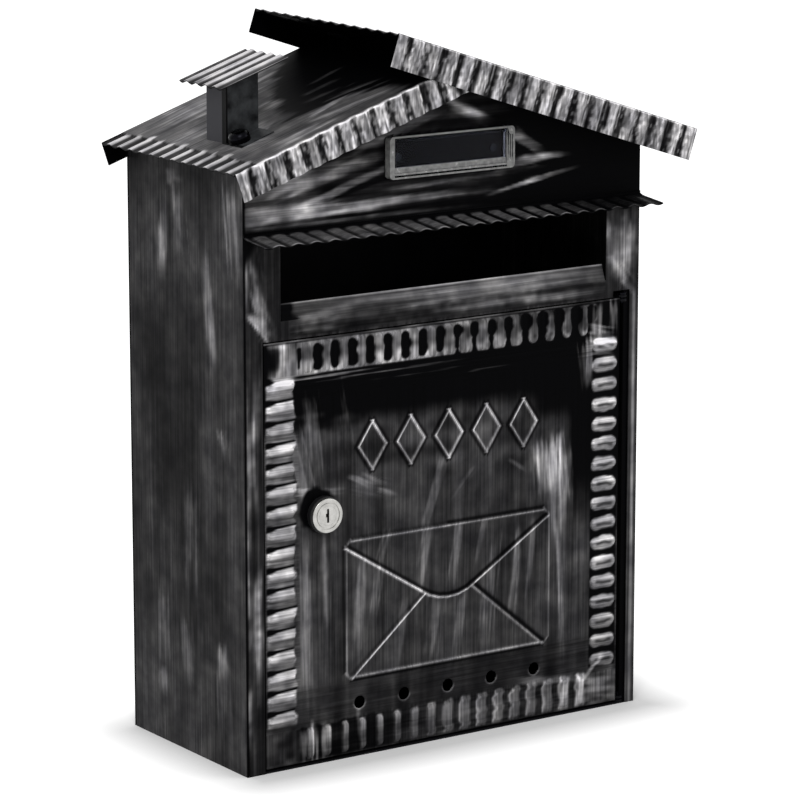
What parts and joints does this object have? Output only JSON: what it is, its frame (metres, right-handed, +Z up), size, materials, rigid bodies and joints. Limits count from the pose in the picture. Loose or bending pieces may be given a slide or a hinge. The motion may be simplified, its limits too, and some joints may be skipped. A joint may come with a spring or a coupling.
{
  "type": "wall mounted mailbox",
  "caption": "House-shaped steel mailbox with fluted pitched roof, small chimney, covered letter slot, name plate holder and a lockable side-hinged door.",
  "frame": {"origin": "centre of the four wall screw holes, on the outer face of the back panel", "axes": "+X to the right as seen from the front, +Y into the wall, +Z up"},
  "size_m": [0.3331, 0.1588, 0.4427],
  "materials": {
    "antique_paint": "satin black paint dry-brushed with silver",
    "black_bolt": "gloss black",
    "zinc_steel": "zinc plated",
    "nickel": "polished nickel",
    "black_plastic": "moulded",
    "clear_plastic": "clear, polished"
  },
  "bodies": {
    "housing": {"front_panel": "antique_paint", "back_panel": "antique_paint", "side_panel_left": "antique_paint", "side_panel_right": "antique_paint", "floor_pan": "antique_paint", "door_threshold": "antique_paint", "roof_panel_left": "antique_paint", "roof_panel_right": "antique_paint", "slot_awning": "antique_paint", "chimney_front": "antique_paint", "chimney_box": "antique_paint", "chimney_cap": "antique_paint", "chimney_bolt": "black_bolt", "chimney_nut": "zinc_steel", "nameplate_tray": "clear_plastic", "nameplate_studs": "black_plastic", "hinge_bracket_top": "antique_paint", "hinge_bracket_bottom": "antique_paint", "hinge_rivets": "black_bolt", "hinge_pin_bottom": "black_bolt"},
    "door": {"door_panel": "antique_paint", "door_lug_top": "antique_paint", "door_lug_bottom": "antique_paint", "hinge_pin_top": "black_bolt", "lock_body": "nickel", "lock_collar": "black_plastic", "lock_nut": "zinc_steel"},
    "lock_rotor": {"lock_plug": "nickel", "lock_cam": "zinc_steel", "cam_washer": "zinc_steel", "cam_screw": "zinc_steel"},
    "window": {"nameplate_window": "clear_plastic"}
  },
  "joints": [
    {"name": "door_hinge", "type": "hinge", "parent": "housing", "child": "door", "pos_m": [0.1348, -0.1288, 0], "axis": [0, 0, 1], "range_deg": [0, 100]},
    {"name": "lock_turn", "type": "hinge", "parent": "door", "child": "lock_rotor", "pos_m": [-0.0896, -0.131, -0.0255], "axis": [0, -1, 0], "range_deg": [0, 90]},
    {"name": "window_slide", "type": "slide", "parent": "housing", "child": "window", "axis": [1, 0, 0], "range_m": [0, 0.07]}
  ]
}
